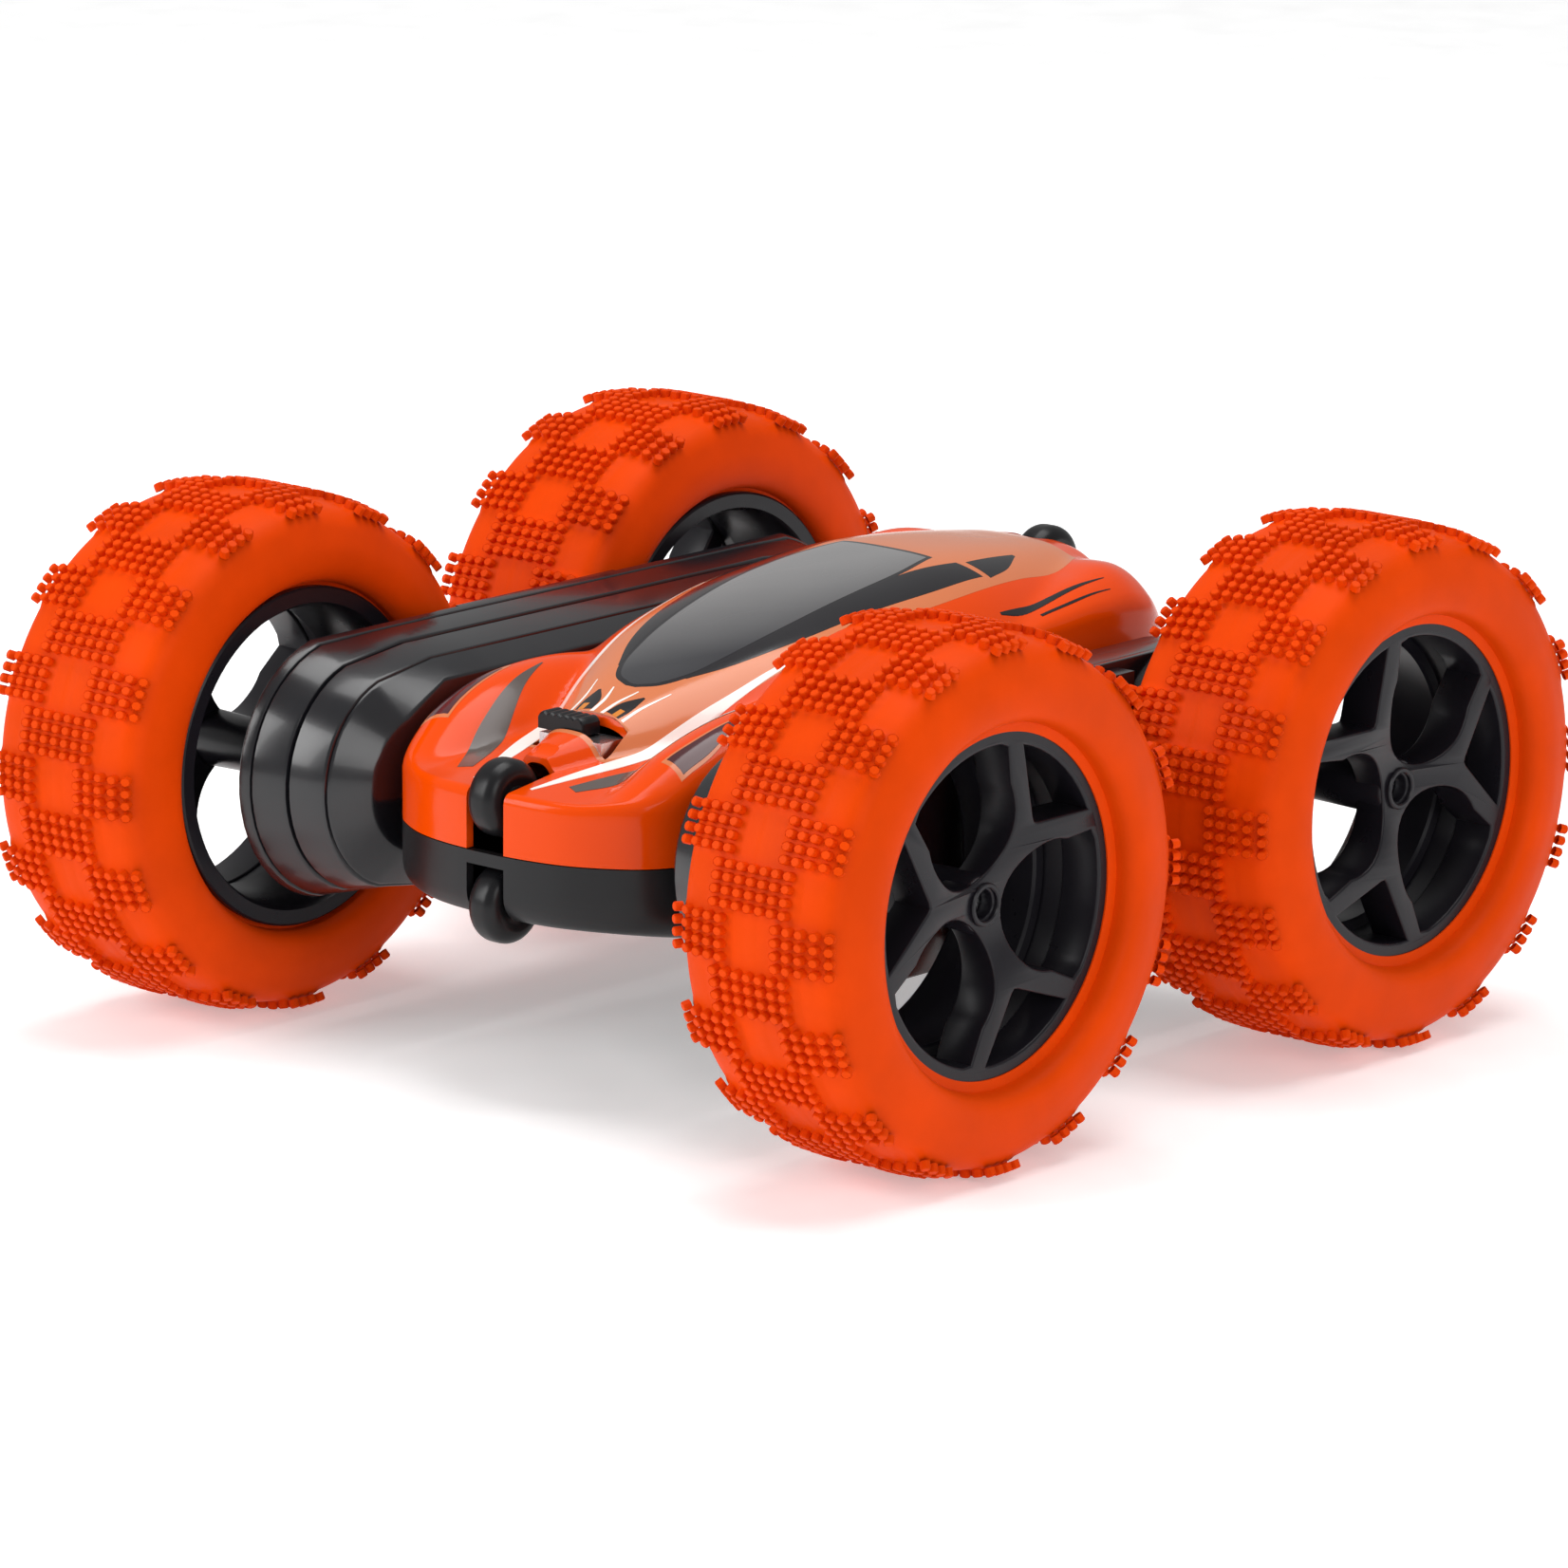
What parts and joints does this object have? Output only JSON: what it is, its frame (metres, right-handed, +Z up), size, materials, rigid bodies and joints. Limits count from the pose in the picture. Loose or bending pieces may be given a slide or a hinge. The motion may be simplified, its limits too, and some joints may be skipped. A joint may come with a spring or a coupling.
{
  "type": "radio-controlled stunt car",
  "caption": "Double-sided toy stunt car: a slim body between two swinging arms, each driving its wheels through gears, on pip-treaded tyres.",
  "frame": {"origin": "on the floor, midway between the four wheels", "axes": "+Z up, nose towards -Y, wheel axles along X"},
  "size_m": [0.152, 0.1588, 0.072],
  "materials": {
    "orange_shell_plastic": "gloss",
    "tyre_rubber": "satin",
    "black_arm_plastic": "gloss",
    "black_chassis_plastic": "satin",
    "black_trim_plastic": "satin",
    "white_gear_nylon": "satin",
    "board_green": "satin",
    "cell_wrap": "gloss",
    "bright_steel": "satin"
  },
  "bodies": {
    "car_body": {"battery_door": "black_chassis_plastic", "battery_pack": "cell_wrap", "bottom_shell": "black_chassis_plastic", "circuit_board": "board_green", "door_screw": "bright_steel", "left_pivot_screw": "bright_steel", "left_pivot_sleeve": "black_chassis_plastic", "right_pivot_screw": "bright_steel", "right_pivot_sleeve": "black_chassis_plastic", "switch_body": "bright_steel", "top_shell": "orange_shell_plastic"},
    "left_arm": {"left_arm_inner_housing": "black_arm_plastic", "left_arm_outer_housing": "black_arm_plastic", "left_compound_pin": "bright_steel", "left_front_idler_pin": "bright_steel", "left_motor": "bright_steel", "left_rear_idler_pin": "bright_steel"},
    "left_front_wheel": {"left_front_tyre": "tyre_rubber", "left_front_rim": "black_chassis_plastic", "left_front_axle": "bright_steel", "left_front_axle_gear": "white_gear_nylon", "left_front_wheel_screw": "bright_steel"},
    "left_front_idler": {"left_front_idler_gear": "white_gear_nylon"},
    "left_rear_wheel": {"left_rear_tyre": "tyre_rubber", "left_rear_rim": "black_chassis_plastic", "left_rear_axle": "bright_steel", "left_rear_axle_gear": "white_gear_nylon", "left_rear_wheel_screw": "bright_steel"},
    "left_rear_idler": {"left_rear_idler_gear": "white_gear_nylon"},
    "left_compound": {"left_compound_gear": "white_gear_nylon"},
    "left_pinion": {"left_motor_pinion": "bright_steel"},
    "right_arm": {"right_arm_inner_housing": "black_arm_plastic", "right_arm_outer_housing": "black_arm_plastic", "right_compound_pin": "bright_steel", "right_front_idler_pin": "bright_steel", "right_motor": "bright_steel", "right_rear_idler_pin": "bright_steel"},
    "right_front_wheel": {"right_front_tyre": "tyre_rubber", "right_front_rim": "black_chassis_plastic", "right_front_axle": "bright_steel", "right_front_axle_gear": "white_gear_nylon", "right_front_wheel_screw": "bright_steel"},
    "right_front_idler": {"right_front_idler_gear": "white_gear_nylon"},
    "right_rear_wheel": {"right_rear_tyre": "tyre_rubber", "right_rear_rim": "black_chassis_plastic", "right_rear_axle": "bright_steel", "right_rear_axle_gear": "white_gear_nylon", "right_rear_wheel_screw": "bright_steel"},
    "right_rear_idler": {"right_rear_idler_gear": "white_gear_nylon"},
    "right_compound": {"right_compound_gear": "white_gear_nylon"},
    "right_pinion": {"right_motor_pinion": "bright_steel"},
    "nose_roller_upper": {"nose_roller_upper": "black_trim_plastic"},
    "nose_roller_lower": {"nose_roller_lower": "black_trim_plastic"},
    "tail_roller_upper": {"tail_roller_upper": "black_trim_plastic"},
    "tail_roller_lower": {"tail_roller_lower": "black_trim_plastic"},
    "switch": {"switch_knob": "black_trim_plastic"}
  },
  "joints": [
    {"name": "left_arm_pivot", "type": "hinge", "parent": "car_body", "child": "left_arm", "pos_m": [-0.027, 0, 0.036], "axis": [1, 0, 0], "continuous": true},
    {"name": "left_front_wheel_spin", "type": "hinge", "parent": "left_arm", "child": "left_front_wheel", "pos_m": [-0.06186, -0.04336, 0.036], "axis": [1, 0, 0], "continuous": true},
    {"name": "left_rear_wheel_spin", "type": "hinge", "parent": "left_arm", "child": "left_rear_wheel", "pos_m": [-0.06186, 0.04336, 0.036], "axis": [1, 0, 0], "continuous": true},
    {"name": "left_front_idler_spin", "type": "hinge", "parent": "left_arm", "child": "left_front_idler", "pos_m": [-0.0342, -0.02016, 0.03909], "axis": [1, 0, 0], "continuous": true},
    {"name": "left_rear_idler_spin", "type": "hinge", "parent": "left_arm", "child": "left_rear_idler", "pos_m": [-0.0342, 0.02016, 0.03909], "axis": [1, 0, 0], "continuous": true},
    {"name": "left_compound_spin", "type": "hinge", "parent": "left_arm", "child": "left_compound", "pos_m": [-0.0342, 0, 0.036], "axis": [1, 0, 0], "continuous": true},
    {"name": "left_pinion_spin", "type": "hinge", "parent": "left_arm", "child": "left_pinion", "pos_m": [-0.0319, 0.00435, 0.02524], "axis": [1, 0, 0], "continuous": true},
    {"name": "right_arm_pivot", "type": "hinge", "parent": "car_body", "child": "right_arm", "pos_m": [0.027, 0, 0.036], "axis": [1, 0, 0], "continuous": true},
    {"name": "right_front_wheel_spin", "type": "hinge", "parent": "right_arm", "child": "right_front_wheel", "pos_m": [0.06186, -0.04336, 0.036], "axis": [1, 0, 0], "continuous": true},
    {"name": "right_rear_wheel_spin", "type": "hinge", "parent": "right_arm", "child": "right_rear_wheel", "pos_m": [0.06186, 0.04336, 0.036], "axis": [1, 0, 0], "continuous": true},
    {"name": "right_front_idler_spin", "type": "hinge", "parent": "right_arm", "child": "right_front_idler", "pos_m": [0.0342, -0.02016, 0.03909], "axis": [1, 0, 0], "continuous": true},
    {"name": "right_rear_idler_spin", "type": "hinge", "parent": "right_arm", "child": "right_rear_idler", "pos_m": [0.0342, 0.02016, 0.03909], "axis": [1, 0, 0], "continuous": true},
    {"name": "right_compound_spin", "type": "hinge", "parent": "right_arm", "child": "right_compound", "pos_m": [0.0342, 0, 0.036], "axis": [1, 0, 0], "continuous": true},
    {"name": "right_pinion_spin", "type": "hinge", "parent": "right_arm", "child": "right_pinion", "pos_m": [0.0319, 0.00435, 0.02524], "axis": [1, 0, 0], "continuous": true},
    {"name": "nose_roller_upper_spin", "type": "hinge", "parent": "car_body", "child": "nose_roller_upper", "pos_m": [0, -0.0568, 0.0408], "axis": [1, 0, 0], "continuous": true},
    {"name": "nose_roller_lower_spin", "type": "hinge", "parent": "car_body", "child": "nose_roller_lower", "pos_m": [0, -0.0566, 0.0265], "axis": [1, 0, 0], "continuous": true},
    {"name": "tail_roller_upper_spin", "type": "hinge", "parent": "car_body", "child": "tail_roller_upper", "pos_m": [0, 0.054, 0.055], "axis": [1, 0, 0], "continuous": true},
    {"name": "tail_roller_lower_spin", "type": "hinge", "parent": "car_body", "child": "tail_roller_lower", "pos_m": [0, 0.054, 0.0204], "axis": [1, 0, 0], "continuous": true},
    {"name": "power_switch_slide", "type": "slide", "parent": "car_body", "child": "switch", "axis": [1, 0, 0], "range_m": [0, 0.0036]}
  ],
  "couplings": [
    {"joint": "left_front_idler_spin", "follows": "left_front_wheel_spin", "ratio": -1.1667},
    {"joint": "left_rear_idler_spin", "follows": "left_front_wheel_spin", "ratio": -1.1667},
    {"joint": "left_compound_spin", "follows": "left_front_wheel_spin", "ratio": 1.3125},
    {"joint": "left_pinion_spin", "follows": "left_front_wheel_spin", "ratio": -3.4453},
    {"joint": "left_rear_wheel_spin", "follows": "left_front_wheel_spin", "ratio": 1},
    {"joint": "right_front_idler_spin", "follows": "right_front_wheel_spin", "ratio": -1.1667},
    {"joint": "right_rear_idler_spin", "follows": "right_front_wheel_spin", "ratio": -1.1667},
    {"joint": "right_compound_spin", "follows": "right_front_wheel_spin", "ratio": 1.3125},
    {"joint": "right_pinion_spin", "follows": "right_front_wheel_spin", "ratio": -3.4453},
    {"joint": "right_rear_wheel_spin", "follows": "right_front_wheel_spin", "ratio": 1}
  ]
}
